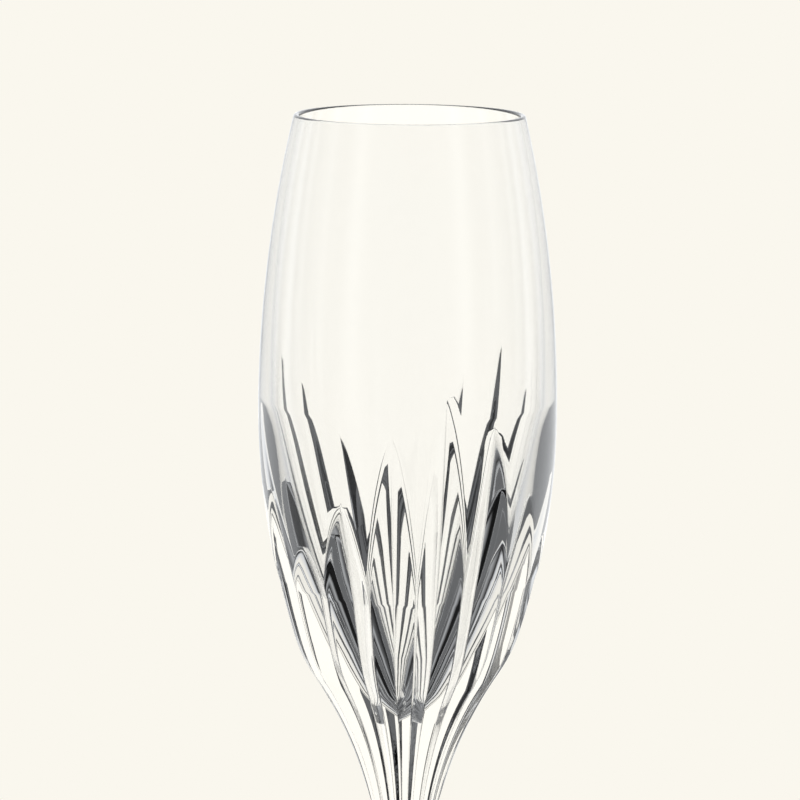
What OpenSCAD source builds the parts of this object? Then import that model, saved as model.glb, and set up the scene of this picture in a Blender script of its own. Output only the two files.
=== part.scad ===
// Champagne flute in cut crystal: a tall closed-in bowl with a fan of mitre cuts,
// a faceted stem and a round foot, hot-joined one above the other.
// Millimetres. The foot stands on z = 0 and the axis of the glass is +Z.

/* [Overall] */
// Which piece to show
// Height from the table to the rim
total_height = 215; // [205:1:225]
// Turn of the whole cut pattern about the axis, in degrees
pattern_turn = 14.3; // [0:0.1:20]

/* [Bowl outline] */
// Height of the widest place
belly_height = 154; // [150:0.5:158]
// Radius at the widest place
belly_radius = 29.9; // [29:0.1:31]
// Radius of the long curve from the belly up to the rim
upper_sweep = 262; // [240:1:320]
// Radius of the curve from the belly down to the turn
lower_sweep = 150; // [140:1:160]
// Height where the bowl starts to turn in
turn_height = 110.5; // [108:0.5:114]
// Radius of the turn
turn_radius = 35; // [30:1:40]
// Steepest lean of the outline, measured from the vertical, in degrees
turn_lean = 33.2; // [32:0.1:34]
// Radius of the hollow curve that runs down into the stem
neck_radius = 88.5; // [84:0.5:92]

/* [Hollow] */
// Height of the lowest point of the hollow
hollow_floor = 94.1; // [93:0.1:97]
// Height where the hollow is widest
hollow_belly = 159; // [156:0.5:164]
// Glass thickness at the rim
rim_wall = 1.2; // [1:0.1:1.6]
// Glass thickness where the hollow is widest, above the cuts
belly_wall = 2.6; // [2.4:0.1:3]
// How the side of the hollow draws in towards the floor (larger is fuller)
hollow_fullness = 1.45; // [1.3:0.05:1.7]
// How round the floor of the hollow is (smaller is rounder)
hollow_point = 0.62; // [0.55:0.01:0.7]

/* [Mitre cuts] */
// Half of the opening angle of a mitre cut, in degrees
mitre_half_angle = 62; // [60:0.5:72]
// Height of the tips of the three tallest cuts
tip_tall = 164.8; // [162:0.1:168]
// Height of the tips beside them
tip_second = 157.4; // [155:0.1:161]
// Height of the next tips down
tip_third = 142.4; // [140:0.1:149]
// Height of the lowest tips
tip_low = 132.6; // [130:0.1:137]
// Height below which neighbouring cuts meet in sharp ridges
ridge_height = 122; // [119:0.5:125]
// How fast a cut opens below its tip (smaller is blunter)
opening_power = 0.65; // [0.6:0.05:0.9]
// How far a cut reaches past half the pitch, as a share of it
cut_overlap = 0.06; // [0.04:0.01:0.1]
// Height where the mitre cuts start to fade on the stem
mitre_fade = 72; // [71:0.5:76]
// Height where the mitre cuts have run out on the stem
mitre_end = 54.5; // [54:0.5:58]

/* [Stem] */
// Height where the bowl is joined to the stem
bowl_joint = 70; // [68:0.5:71]
// Height where the flat facets begin, above the stem
facet_top = 80; // [78:0.5:84]
// Height below which the facets have their full width
facet_full = 64; // [60:0.5:68]
// Height where the facets start to run out on the foot
facet_fade = 30; // [29:0.5:36]
// Height where the facets have run out on the foot
facet_end = 19; // [18:0.5:22]

/* [Foot] */
// Height where the stem is joined to the foot
foot_joint = 14; // [12:0.5:16]
// Radius of the foot
foot_radius = 35; // [32:0.5:38]
// Height where the flare of the foot leaves the stem
flare_height = 28; // [26:0.5:29]
// How far the flare reaches down from there
flare_drop = 25; // [23:0.5:26]
// How far the flare reaches out
flare_reach = 20; // [16:0.5:24]
// Thickness of the foot at its edge
foot_edge = 2; // [1.6:0.1:2.6]
// Height of the shallow hollow under the foot
kick_height = 1.2; // [0.6:0.1:1.6]
// Radius of the hollow under the foot
kick_radius = 30; // [24:0.5:32]

/* [Hidden] */
cut_count = 18;
facet_count = 9;
pitch = 360 / cut_count;
facet_pitch = 360 / facet_count;
full_spread = (pitch / 2) * (1 + cut_overlap);
facet_spread = (facet_pitch / 2) * (1 + cut_overlap);
mitre_cot = cos(mitre_half_angle) / sin(mitre_half_angle);
tip_heights = [tip_tall, tip_second, tip_third, tip_low, tip_third, tip_second];
lip = rim_wall / 2;
lip_height = total_height - lip;
reach = 46;
blade = 64;
flare_turn = 83;

// Outline of the uncut glass: curves that run into each other without a kink.
turn_sine = (belly_height - turn_height) / lower_sweep;
turn_cosine = sqrt(1 - turn_sine * turn_sine);
turn_top_radius = belly_radius - lower_sweep * (1 - turn_cosine);
turn_low = turn_height - turn_radius * (sin(turn_lean) - turn_sine);
turn_low_radius = turn_top_radius - turn_radius * (turn_cosine - cos(turn_lean));
neck_low = turn_low - neck_radius * sin(turn_lean);
stem_radius = turn_low_radius - neck_radius * (1 - cos(turn_lean));

function root(x) = sqrt(max(x, 0));
function outline(z) =
    z >= belly_height
        ? belly_radius - upper_sweep + root(pow(upper_sweep, 2) - pow(z - belly_height, 2))
  : z >= turn_height
        ? belly_radius - lower_sweep + root(pow(lower_sweep, 2) - pow(z - belly_height, 2))
  : z >= turn_low
        ? turn_top_radius - turn_radius * (turn_cosine
            - root(1 - pow(turn_sine + (turn_height - z) / turn_radius, 2)))
  : z >= neck_low
        ? turn_low_radius - neck_radius * (root(1 - pow(sin(turn_lean)
            - (turn_low - z) / neck_radius, 2)) - cos(turn_lean))
  : z >= flare_height
        ? stem_radius
  : stem_radius + flare_reach * (1 - root(1 - pow((flare_height - z) / flare_drop, 2)));

// The hollow follows the outline above its widest place and draws in to a small round floor.
hollow_top_radius = outline(hollow_belly) - belly_wall;
function hollow(z) =
    z >= hollow_belly
        ? outline(z) - rim_wall - (belly_wall - rim_wall)
            * pow((total_height - z) / (total_height - hollow_belly), 1.2)
  : hollow_top_radius * pow(max(1 - pow((hollow_belly - z) / (hollow_belly - hollow_floor),
            hollow_fullness), 0), hollow_point);

// Heights used along the outline, closer together where it bends more.
function steps(a, b, n) = [for (i = [0 : n - 1]) a + (b - a) * i / n];
outer_heights = concat(steps(bowl_joint, turn_low, 13), steps(turn_low, turn_height, 6),
    steps(turn_height, belly_height, 14), steps(belly_height, lip_height, 18), [lip_height]);
inner_heights = concat(steps(lip_height, hollow_belly, 16), steps(hollow_belly, 112, 18),
    steps(112, 98, 8));
stem_heights = concat(steps(foot_joint, flare_height, 9), steps(flare_height, neck_low, 6),
    steps(neck_low, bowl_joint, 5), [bowl_joint]);

// Half the width of a mitre cut, as an angle about the axis, at height z.
function mitre_spread(tip, z) =
    full_spread * pow(max(0, min(1, (tip - z) / (tip - ridge_height))), opening_power)
        * pow(max(0, min(1, (z - mitre_end) / (mitre_fade - mitre_end))), opening_power);
function mitre_depth(tip, z) = let (t = mitre_spread(tip, z))
    outline(z) * (cos(t) - sin(t) * mitre_cot);
function facet_share(z) =
    pow(max(0, min(1, (facet_top - z) / (facet_top - facet_full))), opening_power)
        * pow(max(0, min(1, (z - facet_end) / (facet_fade - facet_end))), opening_power);
function facet_depth(z) = outline(z) * cos(facet_spread * facet_share(z));

function tip_steps(tip) = [for (i = [0 : 7])
    tip - (tip - ridge_height) * pow(i / 8, 1 / opening_power)];
function mitre_heights(tip) = concat(tip_steps(tip), steps(ridge_height, turn_height, 3),
    steps(turn_height, turn_low, 4), steps(turn_low, mitre_fade, 9),
    steps(mitre_fade, mitre_end, 8), [mitre_end]);
facet_heights = concat([for (i = [0 : 5]) facet_top - (facet_top - facet_full)
        * pow(i / 6, 1 / opening_power)],
    steps(facet_full, facet_fade, 10),
    [for (i = [0 : 6]) facet_end + (facet_fade - facet_end) * pow(1 - i / 6, 1 / opening_power)]);

// Everything outside a curve of depths, swept sideways; it overshoots both ends a little.
module sweep_cut(points, over) {
    first = points[0];
    last = points[len(points) - 1];
    rotate([90, 0, 0])
        linear_extrude(height = blade, center = true)
            polygon(concat([[reach, first[1] + over], [first[0] + 2 * over, first[1] + over]],
                points, [[last[0] + 2 * over, last[1] - over], [reach, last[1] - over]]));
}

// One mitre cut: what lies outside both of its walls.
module mitre_cut(tip) {
    points = [for (z = mitre_heights(tip)) [mitre_depth(tip, z) * sin(mitre_half_angle), z]];
    intersection() {
        rotate([0, 0, 90 - mitre_half_angle]) sweep_cut(points, 0.4);
        rotate([0, 0, mitre_half_angle - 90]) sweep_cut(points, 0.4);
    }
}

// The whole ring of mitre cuts: three fans, each falling away from its tallest cut.
module mitre_cuts() {
    for (k = [0 : cut_count - 1])
        rotate([0, 0, pattern_turn - 90 + k * pitch])
            mitre_cut(tip_heights[k % 6]);
}

// The flat facets of the stem, each centred between two mitre cuts.
module stem_facets() {
    points = [for (z = facet_heights) [facet_depth(z), z]];
    for (k = [0 : facet_count - 1])
        rotate([0, 0, pattern_turn - 90 - pitch / 2 + k * facet_pitch])
            sweep_cut(points, 0.4);
}

// Blown bowl: the outline with its hollow and a rounded lip, then the cuts.
module bowl() {
    lip_centre = outline(lip_height) - lip;
    color([0.86, 0.9, 0.92, 0.35])
        difference() {
            rotate_extrude($fn = 96)
                polygon(concat(
                    [[0, bowl_joint]],
                    [for (z = outer_heights) [outline(z), z]],
                    [for (i = [1 : 5]) [lip_centre + lip * cos(i * 30), lip_height + lip * sin(i * 30)]],
                    [for (z = inner_heights) [min(hollow(z), lip_centre - lip), z]],
                    [for (rise = [3, 1.5, 0.6]) [hollow(hollow_floor + rise), hollow_floor + rise]],
                    [[0, hollow_floor]]));
            mitre_cuts();
            stem_facets();
        }
}

// Drawn stem, with the ends of the mitre cuts and the nine flat facets.
module stem() {
    color([0.86, 0.9, 0.92, 0.35])
        difference() {
            rotate_extrude($fn = 96)
                polygon(concat([[0, foot_joint]],
                    [for (z = stem_heights) [outline(z), z]], [[0, bowl_joint]]));
            mitre_cuts();
            stem_facets();
        }
}

// Pressed foot: a flared disc on a level ring, a little hollow underneath.
module foot() {
    edge = foot_edge / 2;
    flare_low = flare_height - flare_drop * sin(flare_turn);
    heights = steps(flare_low, foot_joint, 9);
    color([0.86, 0.9, 0.92, 0.35])
        rotate_extrude($fn = 96)
            polygon(concat(
                [[0, kick_height]],
                [for (i = [1 : 7]) let (r = kick_radius * i / 7)
                    [r, kick_height * (1 - pow(i / 7, 2))]],
                [[foot_radius - edge, 0]],
                [for (i = [1 : 5]) [foot_radius - edge + edge * sin(i * 30), edge - edge * cos(i * 30)]],
                [[foot_radius - edge, foot_edge]],
                [for (z = heights) [outline(z), z]],
                [[outline(foot_joint), foot_joint], [0, foot_joint]]));
}

bowl();
stem();
foot();
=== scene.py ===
"""A champagne flute in cut crystal, drawn around the packed frame of its bowl, stem and foot.

Every surface is a grid of height against turn. The turn runs round the axis from the near side
of the glass (-Y) towards +X. The cut outside is the least of a few plain surfaces: the outline,
the walls of the cuts and the flats of the stem.
"""
import math
import bpy
import numpy as np
from bpy.props import FloatProperty, FloatVectorProperty, IntProperty, PointerProperty
from bpy.types import Operator, Panel, PropertyGroup
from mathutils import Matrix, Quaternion, Vector


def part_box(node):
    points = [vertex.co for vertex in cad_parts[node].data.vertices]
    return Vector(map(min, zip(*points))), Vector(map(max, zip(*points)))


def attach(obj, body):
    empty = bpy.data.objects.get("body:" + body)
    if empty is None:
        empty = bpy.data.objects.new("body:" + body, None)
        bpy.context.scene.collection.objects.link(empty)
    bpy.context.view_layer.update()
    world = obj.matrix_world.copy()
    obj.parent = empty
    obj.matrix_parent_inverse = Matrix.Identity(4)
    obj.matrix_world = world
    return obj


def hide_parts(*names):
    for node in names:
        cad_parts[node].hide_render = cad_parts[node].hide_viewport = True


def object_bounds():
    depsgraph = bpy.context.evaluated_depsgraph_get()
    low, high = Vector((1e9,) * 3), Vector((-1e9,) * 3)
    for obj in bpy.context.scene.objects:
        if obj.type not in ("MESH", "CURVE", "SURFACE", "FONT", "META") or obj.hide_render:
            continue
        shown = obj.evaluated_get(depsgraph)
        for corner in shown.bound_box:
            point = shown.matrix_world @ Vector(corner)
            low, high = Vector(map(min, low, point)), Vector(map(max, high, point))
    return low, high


bl_info = {
    "name": "Cut-crystal flute",
    "version": (1, 0, 0),
    "blender": (4, 5, 0),
    "location": "3D View > Sidebar > Flute",
    "description": "Draws a champagne flute in cut crystal and the studio it stands in",
    "category": "Object",
}

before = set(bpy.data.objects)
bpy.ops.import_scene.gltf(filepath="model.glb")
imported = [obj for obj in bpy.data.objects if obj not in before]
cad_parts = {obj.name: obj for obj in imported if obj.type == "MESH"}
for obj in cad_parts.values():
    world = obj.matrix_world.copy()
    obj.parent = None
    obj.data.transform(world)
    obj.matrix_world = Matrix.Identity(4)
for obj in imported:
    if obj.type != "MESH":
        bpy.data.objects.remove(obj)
CAD_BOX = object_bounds()
BOWL_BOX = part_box("bowl")
STEM_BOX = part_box("stem")
FOOT_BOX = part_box("foot")
BODY = "root"
MM = 0.001
UP = np.array([0.0, 0.0, 1.0])


# ---------------------------------------------------------------- sizes, looks and studio

def length(name, description, default):
    """A length in metres, shown in the scene's units."""
    return FloatProperty(name=name, description=description, default=default,
                         unit="LENGTH", subtype="DISTANCE", precision=5)


def angle(name, description, degrees):
    """An angle, given here in degrees."""
    return FloatProperty(name=name, description=description, default=math.radians(degrees),
                         unit="ROTATION", subtype="ANGLE", precision=3)


def amount(name, description, default):
    """A plain number."""
    return FloatProperty(name=name, description=description, default=default, precision=4)


def colour(name, description, default):
    """A colour, in linear light."""
    return FloatVectorProperty(name=name, description=description, default=default,
                               subtype="COLOR", size=3, min=0, max=2)


class FluteSizes(PropertyGroup):
    """Outline and hollow of the flute."""
    total_height: length("Height", "Table to rim", CAD_BOX[1].z)
    bowl_joint: length("Bowl joint", "Height where the bowl meets the stem", BOWL_BOX[0].z)
    foot_joint: length("Foot joint", "Height where the stem meets the foot", STEM_BOX[0].z)
    foot_radius: length("Foot radius", "Radius of the foot", FOOT_BOX[1].x)
    belly_height: length("Belly height", "Height of the widest place", 154 * MM)
    belly_radius: length("Belly radius", "Radius at the widest place", 29.9 * MM)
    upper_sweep: length("Upper sweep", "Radius of the curve from the belly up to the rim", 262 * MM)
    lower_sweep: length("Lower sweep", "Radius of the curve from the belly to the turn", 150 * MM)
    turn_height: length("Turn height", "Height where the bowl starts to turn in", 110.5 * MM)
    turn_radius: length("Turn radius", "Radius of the turn", 35 * MM)
    turn_lean: angle("Turn lean", "Steepest lean of the outline from the vertical", 33.2)
    neck_radius: length("Neck radius", "Radius of the curve down into the stem", 88.5 * MM)
    hollow_floor: length("Hollow floor", "Height of the lowest point of the hollow", 94.1 * MM)
    hollow_belly: length("Hollow belly", "Height where the hollow is widest", 159 * MM)
    rim_wall: length("Rim wall", "Thickness of the glass at the rim", 1.2 * MM)
    belly_wall: length("Belly wall", "Thickness of the glass where the hollow is widest", 2.6 * MM)
    hollow_fullness: amount("Fullness", "How the hollow draws in towards its floor", 1.45)
    hollow_point: amount("Floor roundness", "Smaller is a rounder floor of the hollow", 0.62)
    flare_height: length("Flare height", "Height where the foot flares from the stem", 28 * MM)
    flare_drop: length("Flare drop", "How far the flare reaches down", 25 * MM)
    flare_reach: length("Flare reach", "How far the flare reaches out", 20 * MM)
    flare_turn: angle("Flare turn", "How far round its curve the flare runs", 83)
    foot_edge: length("Foot edge", "Thickness of the foot at its edge", 2 * MM)
    kick_height: length("Kick height", "Height of the hollow under the foot", 1.2 * MM)
    kick_radius: length("Kick radius", "Radius of the hollow under the foot", 30 * MM)


class CutSizes(PropertyGroup):
    """Mitre cuts of the bowl and flats of the stem."""
    count: IntProperty(name="Cuts", description="Mitre cuts round the bowl", default=18)
    pattern_turn: angle("Pattern turn", "Turn of the first cut from the near side", 14.3)
    half_angle: angle("Half angle", "Half of the opening angle of a cut", 62)
    tip_tall: length("Tall tips", "Height of the tips of the tallest cuts", 164.8 * MM)
    tip_second: length("Second tips", "Height of the tips beside them", 157.4 * MM)
    tip_third: length("Third tips", "Height of the next tips down", 142.4 * MM)
    tip_low: length("Low tips", "Height of the lowest tips", 132.6 * MM)
    ridge_height: length("Ridge height", "Height below which cuts meet in ridges", 122 * MM)
    opening_power: amount("Opening", "How fast a cut opens below its tip", 0.65)
    overlap: amount("Overlap", "Share by which a cut reaches past half the pitch", 0.06)
    mitre_fade: length("Cuts fade", "Height where the cuts start to fade", 72 * MM)
    mitre_end: length("Cuts end", "Height where the cuts have run out", 54.5 * MM)
    facet_top: length("Flats begin", "Height where the flats begin", 80 * MM)
    facet_full: length("Flats full", "Height below which the flats have their full width", 64 * MM)
    facet_fade: length("Flats fade", "Height where the flats start to run out", 30 * MM)
    facet_end: length("Flats end", "Height where the flats have run out", 19 * MM)
    edge_round: length("Edge rounding", "How far acid polishing rounds an edge", 0.45 * MM)
    root_round: amount("Root rounding", "Rounding at the bottom of a cut, as a share of radius", 0.004)


class CrystalLook(PropertyGroup):
    """Finish of the crystal."""
    clear: colour("Clear", "Colour of the clear crystal", (1.0, 1.0, 1.0))
    cool: colour("Cool", "Colour where the crystal is a trace cooler", (0.985, 0.992, 1.0))
    index: amount("Index", "Index of refraction of lead crystal", 1.55)
    cloud_scale: amount("Cloud scale", "How fine the colour clouds are, per metre", 40)
    wave_scale: amount("Wave scale", "How fine the polishing waves are, per metre", 180)
    wave_height: length("Wave height", "Height of the polishing waves", 0.0015 * MM)
    scuff: amount("Scuff", "Roughness of the ring that the foot stands on", 0.25)
    scratch_scale: amount("Scratch scale", "How fine the scratches are, per metre", 900)
    scuff_height: length("Scuff height", "How far up the foot is scuffed", 0.12 * MM)


class StudioLook(PropertyGroup):
    """Camera, backdrop, light and floor."""
    backdrop: colour("Backdrop", "Cream of the backdrop and the floor", (0.956, 0.930, 0.855))
    cool_light: colour("Cool light", "Tint of the light from the sides", (0.93, 0.95, 0.97))
    through_gain: amount("Gain", "Brightness of the backdrop seen through the glass", 1.215)
    camera_distance: length("Distance", "From the camera to the axis of the glass", 0.52)
    rim_angle: angle("Rim angle", "How far above the rim the camera stands", 5.2)
    aim_height: length("Aim height", "Height the camera aims at", 157.8 * MM)
    aim_side: length("Aim side", "How far beside the axis the camera aims", -1.5 * MM)
    roll: angle("Roll", "Turn of the camera about its own line of sight", 0.4)
    field_width: length("Field width", "Width of the view at the glass", 160.2 * MM)
    floor_paint: colour("Floor paint", "Near-white of the floor", (0.985, 0.985, 0.985))
    floor_radius: length("Floor radius", "Radius of the pale floor", 190 * MM)


# ---------------------------------------------------------------- shapes

def soft_min(first, second, blend):
    """The smaller of two, with the corner rounded off: the smaller one, less a quarter of the
    rounding times the square of how near they are to each other."""
    blend = np.maximum(blend, 1e-9)
    near = np.maximum(0, 1 - np.abs(first - second) / blend)
    return np.minimum(first, second) - blend * near ** 2 / 4


def outward(bearings):
    """Level directions away from the axis. A bearing of 0 is the near side, -Y."""
    return np.stack([np.sin(bearings), -np.cos(bearings), 0 * bearings], axis=-1)


def fall(distance, sweep):
    """How far a circle falls away from its tangent at a distance along the tangent."""
    return sweep - np.sqrt(np.maximum(sweep ** 2 - distance ** 2, 0))


def share(value, start, end):
    """How far a value has gone from start to end, kept between 0 and 1."""
    return np.clip((value - start) / (end - start), 0, 1)


class Flute:
    """The curves of the flute as functions of height and turn, in metres and radians."""
    # The rounding of edges shrinks with the radius, down to this share of it.
    LEAST_ROUNDING = 0.2
    # Keeps the sum under a wall's radius above zero, where the wall runs away from the glass.
    LEAST_DIVISOR = 0.05
    # Columns of the grid on either side of an edge, and how close an edge may come to a root.
    EDGE_MARGIN = math.radians(1.1)
    LEAST_EDGE = math.radians(0.8)
    ROOT_MARGIN = math.radians(0.5)
    # Columns in each stretch from a root to just past the edge, then on to the ridge.
    STRETCHES = (1, 2, 3, 3)
    TO_RIDGE = 5

    def __init__(self, sizes, cuts):
        self.s = sizes
        self.c = cuts
        self.pitch = 2 * math.pi / cuts.count
        self.cot = 1 / math.tan(cuts.half_angle)
        tips = [cuts.tip_tall, cuts.tip_second, cuts.tip_third, cuts.tip_low,
                cuts.tip_third, cuts.tip_second]
        self.tips = np.array([tips[k % len(tips)] for k in range(cuts.count)])
        self.turn_sine = (sizes.belly_height - sizes.turn_height) / sizes.lower_sweep
        self.turn_cosine = math.sqrt(1 - self.turn_sine ** 2)
        self.turn_top_radius = sizes.belly_radius - sizes.lower_sweep * (1 - self.turn_cosine)
        lean_sine = math.sin(sizes.turn_lean)
        lean_cosine = math.cos(sizes.turn_lean)
        self.turn_low = sizes.turn_height - sizes.turn_radius * (lean_sine - self.turn_sine)
        self.turn_low_radius = (self.turn_top_radius
                                - sizes.turn_radius * (self.turn_cosine - lean_cosine))
        self.neck_low = self.turn_low - sizes.neck_radius * lean_sine
        self.stem_radius = self.turn_low_radius - sizes.neck_radius * (1 - lean_cosine)

    def outline(self, z):
        """Radius of the uncut glass: arcs for the upper bowl, the lower bowl, the turn and the
        neck, a straight stem, then a quarter of an ellipse out to the foot."""
        s = self.s
        upper = s.belly_radius - fall(z - s.belly_height, s.upper_sweep)
        lower = s.belly_radius - fall(z - s.belly_height, s.lower_sweep)
        sine = np.clip(self.turn_sine + (s.turn_height - z) / s.turn_radius, -1, 1)
        turn = self.turn_top_radius - s.turn_radius * (self.turn_cosine - np.sqrt(1 - sine ** 2))
        sine = np.clip(math.sin(s.turn_lean) - (self.turn_low - z) / s.neck_radius, 0, 1)
        neck = (self.turn_low_radius
                - s.neck_radius * (np.sqrt(1 - sine ** 2) - math.cos(s.turn_lean)))
        sine = np.clip((s.flare_height - z) / s.flare_drop, 0, 1)
        flare = self.stem_radius + s.flare_reach * (1 - np.sqrt(1 - sine ** 2))
        return np.select(
            [z >= s.belly_height, z >= s.turn_height, z >= self.turn_low, z >= self.neck_low],
            [upper, lower, turn, neck], flare)

    def spread(self, tip, z):
        """Half the width of a mitre cut as an angle: it opens from its tip, blunt at first, to a
        little over half the pitch, and closes again on the stem."""
        c = self.c
        full = self.pitch / 2 * (1 + c.overlap)
        opening = share(z, tip, c.ridge_height) ** c.opening_power
        return full * opening * share(z, c.mitre_end, c.mitre_fade) ** c.opening_power

    def root(self, spread, z):
        """Radius of the bottom of a mitre cut whose walls come out at the outline at +-spread."""
        return self.outline(z) * (np.cos(spread) - np.sin(spread) * self.cot)

    def wall(self, root, turn):
        """Radius of a flat wall that leaves the root at the half angle."""
        sine = np.sqrt(np.sin(turn) ** 2 + self.c.root_round ** 2)
        return root / np.maximum(np.cos(turn) - sine * self.cot, self.LEAST_DIVISOR)

    def flat(self, z):
        """Distance of the stem's flats from the axis."""
        c = self.c
        width = (share(z, c.facet_top, c.facet_full) * share(z, c.facet_end, c.facet_fade))
        return self.outline(z) * np.cos(self.pitch * (1 + c.overlap) * width ** c.opening_power)

    def radius(self, sector, turn, z):
        """Radius of the cut glass in a sector between two roots, at a turn from the first one:
        the least of the outline, both walls and the nearest flats, with rounded corners."""
        outline = self.outline(z)
        size = np.clip(outline / self.s.belly_radius, self.LEAST_ROUNDING, 1)
        blend = self.c.edge_round * size
        flat = self.flat(z)
        # Odd sectors have a flat at their middle, even ones the ridge between two flats.
        middle = turn - self.pitch / 2
        odd = sector % 2 == 1
        off_flat = np.where(odd, middle, self.pitch - np.abs(middle))
        across = flat / np.cos(off_flat)
        result = soft_min(outline, across, np.minimum(blend, outline - flat))
        next_flat = flat / np.cos(np.where(odd, 2 * self.pitch - np.abs(middle),
                                           self.pitch + np.abs(middle)))
        result = soft_min(result, next_flat, np.minimum(blend, outline - flat) / 2)
        for tip, away in ((self.tips[sector], turn),
                          (self.tips[(sector + 1) % self.c.count], self.pitch - turn)):
            root = self.root(self.spread(tip, z), z)
            result = soft_min(result, self.wall(root, away), np.minimum(blend, outline - root))
        return result

    def columns(self, z):
        """Turns of the grid's columns, one row for each height: fine at the roots, at the edges
        where the walls come out, and at the ridges between the cuts.
        Returns (sector of each column, turn within the sector)."""
        flat = self.flat(z)
        roots = []
        spreads = []
        for tip in self.tips:
            spreads.append(self.spread(tip, z))
            roots.append(self.root(spreads[-1], z))
        sectors = []
        turns = []
        for k in range(self.c.count):
            after = (k + 1) % self.c.count
            ridge = self.crossing(roots[k], roots[after])
            edges = [self.edge(roots[n], spreads[n], flat, k % 2 == 1) for n in (k, after)]
            left = self.half_columns(edges[0], ridge)
            right = self.pitch - self.half_columns(edges[1], self.pitch - ridge)
            both = np.concatenate([left[:-1], right[::-1]])[:-1]
            turns.append(both)
            sectors.append(np.full(len(both), k))
        return np.concatenate(sectors), np.concatenate(turns).T

    def crossing(self, near, far):
        """Turn where the wall from one root meets the wall from the next root, a pitch away."""
        sine = math.sin(self.pitch)
        cosine = math.cos(self.pitch)
        rise = far - near * (cosine - self.cot * sine)
        run = near * (sine + self.cot * cosine) + self.cot * far
        return np.arctan2(rise, run)

    def edge(self, root, spread, flat, odd):
        """Turn from a root where its wall comes out, at the outline or at a flat."""
        centre = self.pitch / 2 if odd else -self.pitch / 2
        rise = flat - root * math.cos(centre)
        run = flat * self.cot + root * math.sin(centre)
        at_flat = np.arctan2(np.maximum(rise, 0), np.maximum(run, 1e-9))
        return np.minimum(spread, at_flat)

    def half_columns(self, edge, ridge):
        """Columns from a root to the ridge beyond it, closer together at the root, on both sides
        of the edge and at the ridge."""
        edge = np.maximum(np.minimum(edge, ridge - 2.2 * self.EDGE_MARGIN), self.LEAST_EDGE)
        margin = np.minimum(self.EDGE_MARGIN, 0.45 * edge)
        start = np.minimum(self.ROOT_MARGIN, 0.3 * edge)
        knots = [np.zeros_like(edge), start, edge - margin, edge, edge + margin, ridge]
        parts = [knots[n] + (knots[n + 1] - knots[n]) * i / count
                 for n, count in enumerate(self.STRETCHES) for i in range(count)]
        parts += [knots[4] + (ridge - knots[4]) * math.sin(math.pi / 2 * i / self.TO_RIDGE)
                  for i in range(self.TO_RIDGE + 1)]
        return np.array(parts)


def cut_wall(flute, heights):
    """Places and normals of the cut outside at the given heights.
    The normal leans back by the slope of the radius in turn and in height."""
    sector, turn = flute.columns(heights)
    z = heights[:, None] + 0 * turn
    start = flute.c.pattern_turn + flute.pitch * sector
    radius = flute.radius(sector, turn, z)
    step = 2e-6
    by_turn = flute.radius(sector, turn + step, z) - flute.radius(sector, turn - step, z)
    by_turn /= 2 * step
    by_height = flute.radius(sector, turn, z + step) - flute.radius(sector, turn, z - step)
    by_height /= 2 * step
    bearing = start + turn
    out = outward(bearing)
    round_way = outward(bearing + math.pi / 2)
    normal = out - (by_turn / radius)[..., None] * round_way - by_height[..., None] * UP
    place = radius[..., None] * out + z[..., None] * UP
    return place, normal, bearing


def revolved(profile, bearings):
    """Places and normals of a profile of (radius, height) carried round the axis. The profile
    runs with the glass on its left, so its normal is its direction turned a quarter clockwise."""
    radius, z = profile.T
    along = np.gradient(profile, axis=0)
    out = outward(bearings)
    place = radius[:, None, None] * out + z[:, None, None] * UP
    normal = along[:, 1][:, None, None] * out - along[:, 0][:, None, None] * UP
    return place, normal


def pole(height, bearings, up):
    """A ring of no radius on the axis, facing up (1) or down (-1)."""
    place = np.zeros((1, len(bearings), 3))
    place[..., 2] = height
    normal = np.zeros_like(place)
    normal[..., 2] = up
    return place, normal


def steps(start, end, spacing):
    """Even steps from start up to end, without the end, no longer than spacing."""
    count = math.ceil(abs(end - start) / spacing)
    return np.linspace(start, end, count, endpoint=False)


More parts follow.
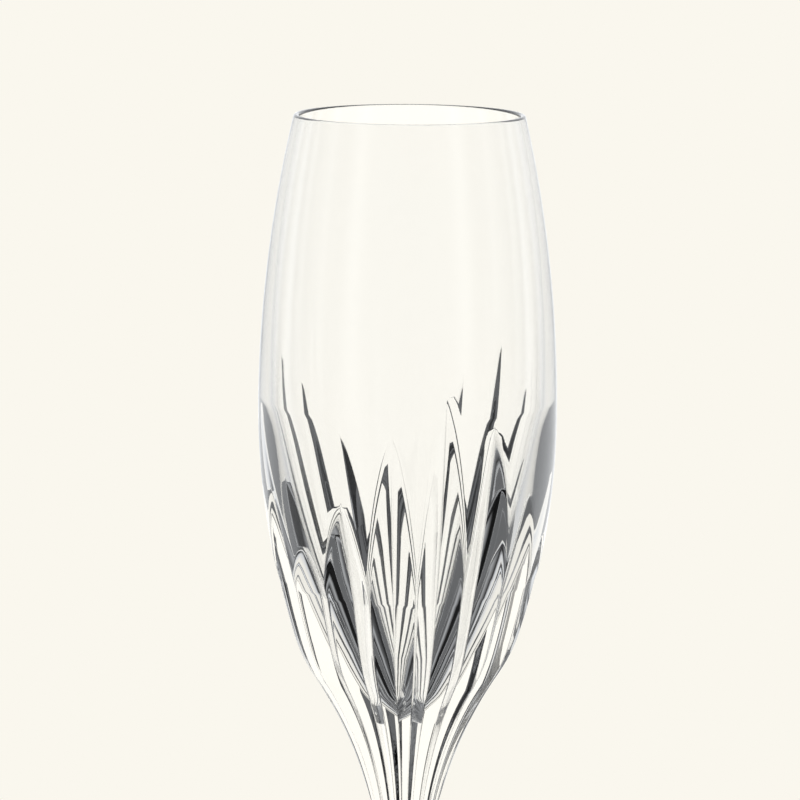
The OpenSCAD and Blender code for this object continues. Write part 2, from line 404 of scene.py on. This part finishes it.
def closed_skin(name, rows, materials, joints):
    """A closed mesh from rows of rings. The first and last ring are poles. A band of faces that
    touches a pole named in joints is a flat joint face and takes the second material."""
    place = np.concatenate([row[0] for row in rows])
    normal = np.concatenate([row[1] for row in rows])
    normal /= np.linalg.norm(normal, axis=-1, keepdims=True)
    levels, around = place.shape[:2]
    index = 1 + (np.arange(levels)[:, None] - 1) * around + np.arange(around)
    top = (levels - 2) * around + 1
    ring = np.arange(around)
    after = (ring + 1) % around
    body = np.stack([index[1:-2, ring], index[1:-2, after], index[2:-1, after], index[2:-1, ring]],
                    axis=-1).reshape(-1, 4)
    lower = np.stack([0 * ring, index[1, after], index[1, ring]], axis=-1)
    upper = np.stack([index[-2, ring], index[-2, after], 0 * ring + top], axis=-1)
    corners = np.concatenate([lower.ravel(), body.ravel(), upper.ravel()])
    totals = np.concatenate([np.full(around, 3), np.full(len(body), 4), np.full(around, 3)])
    places = np.concatenate([place[0, :1], place[1:-1].reshape(-1, 3), place[-1, :1]])
    normals = np.concatenate([normal[0, :1], normal[1:-1].reshape(-1, 3), normal[-1, :1]])
    mesh = bpy.data.meshes.new(name)
    mesh.vertices.add(len(places))
    mesh.vertices.foreach_set("co", places.ravel())
    mesh.loops.add(len(corners))
    mesh.loops.foreach_set("vertex_index", corners)
    mesh.polygons.add(len(totals))
    mesh.polygons.foreach_set("loop_start", np.cumsum(totals) - totals)
    mesh.polygons.foreach_set("loop_total", totals)
    mesh.polygons.foreach_set("use_smooth", np.ones(len(totals), dtype=bool))
    slots = np.zeros(len(totals), dtype=np.int32)
    facing = normals[corners]
    if "lower" in joints:
        slots[:around] = 1
        facing[:3 * around] = (0, 0, -1)
    if "upper" in joints:
        slots[-around:] = 1
        facing[-3 * around:] = (0, 0, 1)
    for material in materials:
        mesh.materials.append(material)
    mesh.polygons.foreach_set("material_index", slots)
    mesh.update(calc_edges=True)
    mesh.normals_split_custom_set(facing.tolist())
    piece = bpy.data.objects.new(name, mesh)
    bpy.context.scene.collection.objects.link(piece)
    return piece


def add_piece(piece, node):
    """Puts a finished piece on the body and hides the plain node it stands in for."""
    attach(piece, BODY)
    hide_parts(node)


# ---------------------------------------------------------------- materials

# A Mix node has a result for numbers, one for vectors and then this one, for colours.
COLOUR_RESULT = 2


class Wire:
    """A socket that can stand in a sum: every operator adds its Math node."""

    def __init__(self, net, socket):
        self.net = net
        self.socket = socket

    def out(self, name):
        """Another output of the same node, by name or number."""
        return Wire(self.net, self.socket.node.outputs[name])

    def maths(self, operation, *values):
        return self.net.node("Math", {"operation": operation}, dict(enumerate(values)))

    def __mul__(self, other):
        return self.maths("MULTIPLY", self, other)

    def __truediv__(self, other):
        return self.maths("DIVIDE", self, other)

    def __rtruediv__(self, other):
        return self.maths("DIVIDE", other, self)

    def __lt__(self, other):
        return self.maths("LESS_THAN", self, other)

    def __abs__(self):
        return self.maths("ABSOLUTE", self)

    __rmul__ = __mul__


class Net:
    """A node tree that is filled through one method."""

    def __init__(self, tree):
        self.tree = tree
        tree.nodes.clear()

    def node(self, kind, settings=None, sockets=None):
        """Adds a node. Settings are its own properties, or stops for a ramp; sockets are values or
        wires by input name or number. Returns the wire of its first output."""
        node = self.tree.nodes.new("ShaderNode" + kind)
        for key, value in (settings or {}).items():
            if key == "stops":
                self.set_stops(node.color_ramp, value)
            else:
                setattr(node, key, value)
        for key, value in (sockets or {}).items():
            if isinstance(value, Wire):
                self.tree.links.new(value.socket, node.inputs[key])
            else:
                node.inputs[key].default_value = value
        return Wire(self, node.outputs[0]) if node.outputs else None

    @staticmethod
    def set_stops(ramp, stops):
        """Gives a ramp its stops, as pairs of a place and a colour."""
        ramp.elements.remove(ramp.elements[1])
        ramp.elements[0].position = stops[0][0]
        ramp.elements[0].color = (*stops[0][1], 1)
        for place, tint in stops[1:]:
            ramp.elements.new(place).color = (*tint, 1)


def crystal_material(name, look, scuffed=False):
    """Clear lead crystal: a trace of cooler cloud in its colour and a faint wave left by polishing.
    The foot also has a ring of fine scratches where it stands."""
    material = bpy.data.materials.new(name)
    material.use_nodes = True
    net = Net(material.node_tree)
    place = net.node("TexCoord").out("Object")
    cloud = net.node("TexNoise", None, {"Vector": place, "Scale": look.cloud_scale, "Detail": 2.0})
    tint = net.node("Mix", {"data_type": "RGBA"},
                    {"Factor": cloud, "A": (*look.clear, 1), "B": (*look.cool, 1)})
    tint = tint.out(COLOUR_RESULT)
    waves = net.node("TexNoise", None, {"Vector": place, "Scale": look.wave_scale, "Detail": 1.0})
    normal = net.node("Bump", None, {"Height": waves, "Distance": look.wave_height, "Strength": 1.0})
    sockets = {"Base Color": tint, "Normal": normal, "IOR": look.index,
               "Transmission Weight": 1.0, "Roughness": 0.0}
    if scuffed:
        height = net.node("SeparateXYZ", None, {"Vector": place}).out("Z")
        scratches = net.node("TexNoise", None,
                             {"Vector": place, "Scale": look.scratch_scale, "Detail": 3.0})
        sockets["Roughness"] = (height < look.scuff_height) * scratches * look.scuff
    shader = net.node("BsdfPrincipled", None, sockets)
    net.node("OutputMaterial", None, {"Surface": shader})
    return material


def joint_material():
    """The face where two pieces of hot crystal were joined: light goes straight through it."""
    material = bpy.data.materials.new("hot_joint")
    material.use_nodes = True
    net = Net(material.node_tree)
    net.node("OutputMaterial", None, {"Surface": net.node("BsdfTransparent")})
    return material


# ---------------------------------------------------------------- pieces

class FLUTE_OT_bowl(Operator):
    """Draw the bowl: cut outside, rounded lip, and the hollow that holds the wine"""
    bl_idname = "flute.bowl"
    bl_label = "Draw the bowl"
    LIP_STEPS = 10
    HOLLOW_STEPS = 32

    def execute(self, context):
        sizes = context.scene.flute_sizes
        flute = Flute(sizes, context.scene.flute_cuts)
        rise = 1e-6
        top = sizes.total_height
        lean = math.atan(float(flute.outline(top - rise) - flute.outline(top)) / rise)
        lip = sizes.rim_wall * math.cos(lean) / 2
        lip_height = top - lip
        seam = lip_height + lip * math.sin(lean)
        cuts_top = context.scene.flute_cuts.tip_tall + MM
        heights = np.concatenate([
            steps(sizes.bowl_joint, sizes.turn_height, 1.0 * MM),
            steps(sizes.turn_height, cuts_top, 0.7 * MM),
            steps(cuts_top, seam, 4.0 * MM),
            [seam]])
        place, normal, bearing = cut_wall(flute, heights)
        bearings = bearing[-1]
        lip_centre = float(flute.outline(seam)) - lip * math.cos(lean)
        arc = np.linspace(lean, math.pi + lean, self.LIP_STEPS)[1:-1]
        rounded = np.stack([lip_centre + lip * np.cos(arc), lip_height + lip * np.sin(arc)], axis=1)
        profile = np.concatenate([rounded, self.hollow(flute, lip_height - lip * math.sin(lean))])
        inside, inside_normal = revolved(profile, bearings)
        rows = [pole(sizes.bowl_joint, bearings, -1), (place, normal), (inside, inside_normal),
                pole(sizes.hollow_floor, bearings, 1)]
        look = context.scene.flute_crystal
        materials = [crystal_material("bowl_crystal", look), joint_material()]
        add_piece(closed_skin("cut_bowl", rows, materials, {"lower"}), "bowl")
        return {"FINISHED"}

    @staticmethod
    def hollow(flute, start):
        """Profile of the hollow from the lip down. Above its widest place the wall thickens as a
        power of the depth; below, the radius is the top one times x, and the depth follows from
        the same curve turned round: one less x to the power 1/point, to the power 1/fullness."""
        s = flute.s
        z = steps(start, s.hollow_belly, 5 * MM)
        depth = np.clip((s.total_height - z) / (s.total_height - s.hollow_belly), 0, 1)
        upper = flute.outline(z) - s.rim_wall - (s.belly_wall - s.rim_wall) * depth ** 1.2
        widest = float(flute.outline(np.array(s.hollow_belly))) - s.belly_wall
        x = np.cos(np.linspace(0, math.pi / 2, FLUTE_OT_bowl.HOLLOW_STEPS))[:-1]
        sunk = (1 - x ** (1 / s.hollow_point)) ** (1 / s.hollow_fullness)
        lower = s.hollow_belly - (s.hollow_belly - s.hollow_floor) * sunk
        return np.concatenate([np.stack([upper, z], axis=1), np.stack([widest * x, lower], axis=1)])


class FLUTE_OT_stem(Operator):
    """Draw the stem: the ends of the mitre cuts and nine long flats"""
    bl_idname = "flute.stem"
    bl_label = "Draw the stem"

    def execute(self, context):
        sizes = context.scene.flute_sizes
        flute = Flute(sizes, context.scene.flute_cuts)
        heights = np.append(steps(sizes.foot_joint, sizes.bowl_joint, 0.9 * MM), sizes.bowl_joint)
        place, normal, bearing = cut_wall(flute, heights)
        rows = [pole(sizes.foot_joint, bearing[0], -1), (place, normal),
                pole(sizes.bowl_joint, bearing[-1], 1)]
        look = context.scene.flute_crystal
        materials = [crystal_material("stem_crystal", look), joint_material()]
        add_piece(closed_skin("faceted_stem", rows, materials, {"lower", "upper"}), "stem")
        return {"FINISHED"}


class FLUTE_OT_foot(Operator):
    """Draw the foot: a flared disc on a level ring, a little hollow underneath"""
    bl_idname = "flute.foot"
    bl_label = "Draw the foot"
    KICK_STEPS = 24
    EDGE_STEPS = 13
    TOP_STEPS = 9
    FLARE_STEPS = 34
    ROUND_STEPS = 252

    def execute(self, context):
        sizes = context.scene.flute_sizes
        flute = Flute(sizes, context.scene.flute_cuts)
        edge = sizes.foot_edge / 2
        rim = sizes.foot_radius - edge
        inward = np.linspace(0, 1, self.KICK_STEPS)[1:]
        kick = np.stack([sizes.kick_radius * inward, sizes.kick_height * (1 - inward ** 2)], axis=1)
        arc = np.linspace(-math.pi / 2, math.pi / 2, self.EDGE_STEPS)
        round_edge = np.stack([rim + edge * np.cos(arc), edge + edge * np.sin(arc)], axis=1)
        joint_turn = math.asin((sizes.flare_height - sizes.foot_joint) / sizes.flare_drop)
        sweep = np.linspace(sizes.flare_turn, joint_turn, self.FLARE_STEPS)
        z = sizes.flare_height - sizes.flare_drop * np.sin(sweep)
        flare = np.stack([flute.outline(z), z], axis=1)
        along = np.linspace(0, 1, self.TOP_STEPS)[1:-1, None]
        top = round_edge[-1] + (flare[0] - round_edge[-1]) * along
        profile = np.concatenate([kick, round_edge, top, flare])
        bearings = np.linspace(0, 2 * math.pi, self.ROUND_STEPS, endpoint=False)
        rows = [pole(sizes.kick_height, bearings, -1), revolved(profile, bearings),
                pole(sizes.foot_joint, bearings, 1)]
        look = context.scene.flute_crystal
        materials = [crystal_material("foot_crystal", look, scuffed=True), joint_material()]
        add_piece(closed_skin("flared_foot", rows, materials, {"upper"}), "foot")
        return {"FINISHED"}


class FLUTE_OT_studio(Operator):
    """Set up the studio: cream backdrop, soft light, pale floor and camera"""
    bl_idname = "flute.studio"
    bl_label = "Set up the studio"
    # Levels of light at bearings in degrees from straight behind the glass: mirrored in its
    # outside, mirrored once inside it, and mirrored twice. After that the level is DIM all round.
    OUTSIDE = [(0, 1.4), (50, 1.2), (80, 0.94), (100, 0.1), (180, 0.02)]
    ONCE = [(0, 1), (34, 1), (48, 0.75), (54, 0.005), (66, 0.4), (72, 0.005), (84, 0.005),
            (94, 0.45), (100, 0.12), (116, 0.005), (130, 0.4), (142, 0.1), (180, 0.005)]
    TWICE = [(0, 0.9), (40, 0.008), (180, 0.008)]
    DIM = 0.15
    # Levels above this one take the bright colour, and the others the cool one.
    BRIGHT = 0.95
    FLOOR_SIDES = 96
    # The floor fades between these shares of its radius.
    FADE_FROM = 0.3
    FADE_TO = 0.98

    def execute(self, context):
        look = context.scene.flute_studio
        self.light(context, look)
        self.floor(context, look)
        self.camera(context, look)
        context.scene.view_settings.view_transform = "Standard"
        context.scene.cycles.max_bounces = 32
        context.scene.cycles.transmission_bounces = 32
        context.scene.cycles.glossy_bounces = 16
        context.scene.cycles.transparent_max_bounces = 16
        return {"FINISHED"}

    def light(self, context, look):
        """A light that no real studio has: its level depends on how often a ray was mirrored.
        What is seen straight through the glass is the backdrop, brightened, from every side. The
        outside mirrors a cool light that is dark in front. What is mirrored once inside comes
        from a bright field behind and from stripes at the sides and in front. What is mirrored
        twice is nearly black except behind, and what is mirrored more often is an even grey."""
        world = bpy.data.worlds.new("studio")
        context.scene.world = world
        world.use_nodes = True
        net = Net(world.node_tree)
        way = net.node("SeparateXYZ", None, {"Vector": net.node("TexCoord")})
        bearing = abs(way.maths("ARCTAN2", way, way.out("Y")))
        path = net.node("LightPath")
        mirrored = path.out("Glossy Depth")
        outside = path.out("Transmission Depth") < 0.5
        plain = self.backing(net, look.backdrop, 1.0)
        lit = self.backing(net, look.backdrop, look.through_gain)
        gloss = self.field(net, look.cool_light, look, bearing, self.OUTSIDE)
        once = self.field(net, look.backdrop, look, bearing, self.ONCE)
        more = self.field(net, look.backdrop, look, bearing, self.TWICE)
        deep = self.backing(net, look.cool_light, self.DIM)
        # Depths are whole numbers, so each test lies halfway between two of them.
        shades = self.pick(net, mirrored < 2.5, more, deep)
        shades = self.pick(net, mirrored < 1.5, once, shades)
        shades = self.pick(net, outside, gloss, shades)
        shades = self.pick(net, mirrored < 0.5, lit, shades)
        shades = self.pick(net, path.out("Is Diffuse Ray"), plain, shades)
        shades = self.pick(net, path.out("Is Camera Ray"), plain, shades)
        net.node("OutputWorld", None, {"Surface": shades})

    @staticmethod
    def pick(net, test, yes, no):
        """One light where the test holds and another where it does not."""
        return net.node("MixShader", None, {0: test, 1: no, 2: yes})

    @staticmethod
    def backing(net, tint, strength):
        """An even light of one colour."""
        return net.node("Background", None, {"Color": (*tint, 1), "Strength": strength})

    @staticmethod
    def field(net, bright, look, bearing, levels):
        """A light with a level at each bearing, in degrees from straight behind the glass."""
        stops = []
        for degrees, level in levels:
            tint = bright if level > FLUTE_OT_studio.BRIGHT else look.cool_light
            stops.append((degrees / 180, [level * part for part in tint]))
        ramp = net.node("ValToRGB", {"stops": stops}, {"Fac": bearing / math.pi})
        return net.node("Background", None, {"Color": ramp})

    def floor(self, context, look):
        """A round pale floor that fades into the backdrop at its edge. The glass neither mirrors
        it nor shows it."""
        bearings = np.linspace(0, 2 * math.pi, self.FLOOR_SIDES, endpoint=False)
        ring = look.floor_radius * outward(bearings)
        mesh = bpy.data.meshes.new("floor")
        mesh.from_pydata(ring.tolist(), [], [list(range(len(ring)))])
        floor = bpy.data.objects.new("floor", mesh)
        context.scene.collection.objects.link(floor)
        material = bpy.data.materials.new("pale_floor")
        material.use_nodes = True
        net = Net(material.node_tree)
        place = net.node("TexCoord").out("Object")
        reach = net.node("VectorMath", {"operation": "LENGTH"}, {0: place}).out("Value")
        fade = net.node("MapRange", {"interpolation_type": "SMOOTHSTEP"},
                        {"Value": reach, "From Min": self.FADE_FROM * look.floor_radius,
                         "From Max": self.FADE_TO * look.floor_radius})
        paint = net.node("BsdfDiffuse", None, {"Color": (*look.floor_paint, 1)})
        clear = net.node("BsdfTransparent")
        net.node("OutputMaterial", None,
                 {"Surface": net.node("MixShader", None, {0: fade, 1: paint, 2: clear})})
        mesh.materials.append(material)
        floor.visible_glossy = False
        floor.visible_transmission = False

    def camera(self, context, look):
        """A long lens, a little above the rim, on the upper part of the glass."""
        camera = bpy.data.cameras.new("camera")
        view = bpy.data.objects.new("camera", camera)
        context.scene.collection.objects.link(view)
        rise = look.camera_distance * math.tan(look.rim_angle)
        view.location = (0, -look.camera_distance, CAD_BOX[1].z + rise)
        sight = Vector((look.aim_side, 0, look.aim_height)) - view.location
        view.rotation_mode = "QUATERNION"
        view.rotation_quaternion = sight.to_track_quat("-Z", "Y") @ Quaternion((0, 0, 1), look.roll)
        camera.lens = camera.sensor_width * sight.length / look.field_width
        context.scene.camera = view


class FLUTE_PT_panel(Panel):
    """Sizes, looks and steps of the flute"""
    bl_idname = "FLUTE_PT_panel"
    bl_label = "Cut-crystal flute"
    bl_space_type = "VIEW_3D"
    bl_region_type = "UI"
    bl_category = "Flute"

    def draw(self, context):
        for group in GROUPS:
            box = self.layout.box()
            box.label(text=GROUPS[group].__doc__)
            settings = getattr(context.scene, group)
            for name in GROUPS[group].__annotations__:
                box.prop(settings, name)
        for step in STEPS:
            self.layout.operator(step.bl_idname)


GROUPS = {"flute_sizes": FluteSizes, "flute_cuts": CutSizes,
          "flute_crystal": CrystalLook, "flute_studio": StudioLook}
STEPS = (FLUTE_OT_bowl, FLUTE_OT_stem, FLUTE_OT_foot, FLUTE_OT_studio)


def register():
    for kind in (*GROUPS.values(), *STEPS, FLUTE_PT_panel):
        bpy.utils.register_class(kind)
    for name, kind in GROUPS.items():
        setattr(bpy.types.Scene, name, PointerProperty(type=kind))


def unregister():
    for name in GROUPS:
        delattr(bpy.types.Scene, name)
    for kind in (FLUTE_PT_panel, *reversed(STEPS), *GROUPS.values()):
        bpy.utils.unregister_class(kind)


def main():
    register()
    bpy.ops.flute.bowl()
    bpy.ops.flute.stem()
    bpy.ops.flute.foot()
    bpy.ops.flute.studio()


if __name__ == "__main__":
    main()
